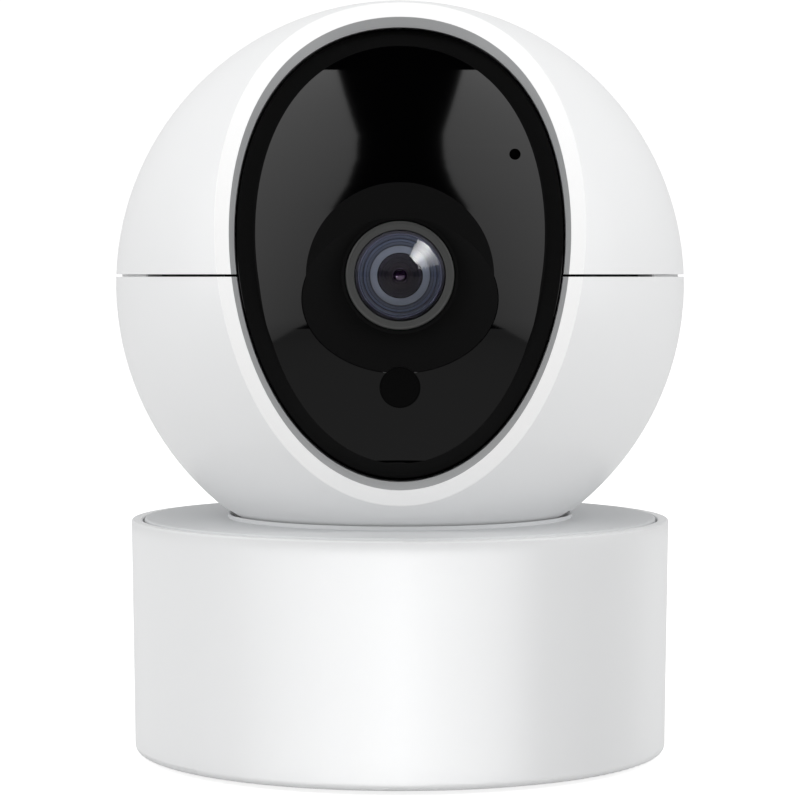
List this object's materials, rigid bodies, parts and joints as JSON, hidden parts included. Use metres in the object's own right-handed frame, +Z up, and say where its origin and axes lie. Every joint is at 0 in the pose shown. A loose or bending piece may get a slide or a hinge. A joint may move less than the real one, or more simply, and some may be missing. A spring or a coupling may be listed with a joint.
{
  "type": "security camera",
  "caption": "Indoor pan-and-tilt security camera: a white ball with an egg-shaped black face and lens, tilting in a turntable on a drum base.",
  "frame": {"origin": "on the pan axis, at the surface that the rubber feet stand on", "axes": "+Z up along the pan axis; the face and lens look along -Y; the tilt axis is parallel to X"},
  "size_m": [0.085, 0.0827, 0.1125],
  "materials": {
    "white_shell": "satin",
    "white_deck": "fine texture",
    "face_black": "polished",
    "lens_black": "satin",
    "lens_glass": "coated",
    "inner_plastic": "satin",
    "acetal": "satin",
    "steel": "satin",
    "ballast_iron": "raw",
    "brass": "satin",
    "rubber": "matte",
    "circuit_board": "satin",
    "chip": "matte"
  },
  "bodies": {
    "base": {"base_housing": "white_shell", "bottom_plate": "inner_plastic", "rubber_feet": "rubber", "ballast_weight": "ballast_iron", "bottom_screws": "steel", "tripod_insert": "brass", "pan_motor": "steel", "pan_motor_screws": "steel", "pan_bush": "acetal", "power_board": "circuit_board", "power_board_screws": "steel", "power_parts": "chip", "usb_socket": "steel", "reset_switch": "chip", "speaker": "inner_plastic"},
    "turntable": {"deck_plate": "white_deck", "deck_cup": "inner_plastic", "deck_screws": "steel", "pan_clip": "steel", "pan_gear": "acetal", "tilt_arm": "steel", "arm_screws": "steel", "tilt_gear": "acetal", "gear_rivets": "steel", "tilt_bush": "acetal"},
    "pan_drive": {"pan_pinion": "acetal", "pan_motor_shaft": "steel"},
    "button": {"reset_button": "inner_plastic"},
    "head": {"upper_shell": "white_shell", "lower_shell": "white_shell", "shell_screws": "steel", "face_panel": "face_black", "light_window": "face_black", "microphone": "inner_plastic", "lens_barrel": "lens_black", "lens_front_glass": "lens_glass", "lens_baffle": "lens_black", "lens_rear_glass": "lens_glass", "lens_holder": "lens_black", "sensor_board": "circuit_board", "image_sensor": "chip", "sensor_board_screws": "steel", "ir_board": "circuit_board", "ir_board_screws": "steel", "ir_lamps": "chip", "light_sensor": "chip", "head_frame": "inner_plastic", "tilt_motor": "steel", "tilt_motor_screws": "steel", "tilt_axle": "steel", "axle_clip": "steel", "main_board": "circuit_board", "main_board_screws": "steel", "main_board_parts": "chip", "wifi_module": "steel"},
    "tilt_drive": {"tilt_pinion": "acetal", "tilt_motor_shaft": "steel"}
  },
  "joints": [
    {"name": "pan", "type": "hinge", "parent": "base", "child": "turntable", "pos_m": [0, 0, 0.018], "axis": [0, 0, 1], "range_deg": [-170, 170]},
    {"name": "pan_drive_turn", "type": "hinge", "parent": "base", "child": "pan_drive", "pos_m": [-0.028, 0, 0.0224], "axis": [0, 0, 1], "range_deg": [-690, 690]},
    {"name": "tilt", "type": "hinge", "parent": "turntable", "child": "head", "pos_m": [0, 0, 0.07], "axis": [-1, 0, 0], "range_deg": [-10, 75]},
    {"name": "tilt_drive_turn", "type": "hinge", "parent": "head", "child": "tilt_drive", "pos_m": [0, 0, 0.0838], "axis": [-1, 0, 0], "range_deg": [-25, 175]},
    {"name": "reset_press", "type": "slide", "parent": "base", "child": "button", "axis": [0, -1, 0], "range_m": [0, 0.0006], "stiffness_N_per_m": 300, "springref_m": -0.001}
  ],
  "couplings": [
    {"joint": "pan_drive_turn", "follows": "pan", "ratio": -4},
    {"joint": "tilt_drive_turn", "follows": "tilt", "ratio": 2.2857}
  ]
}
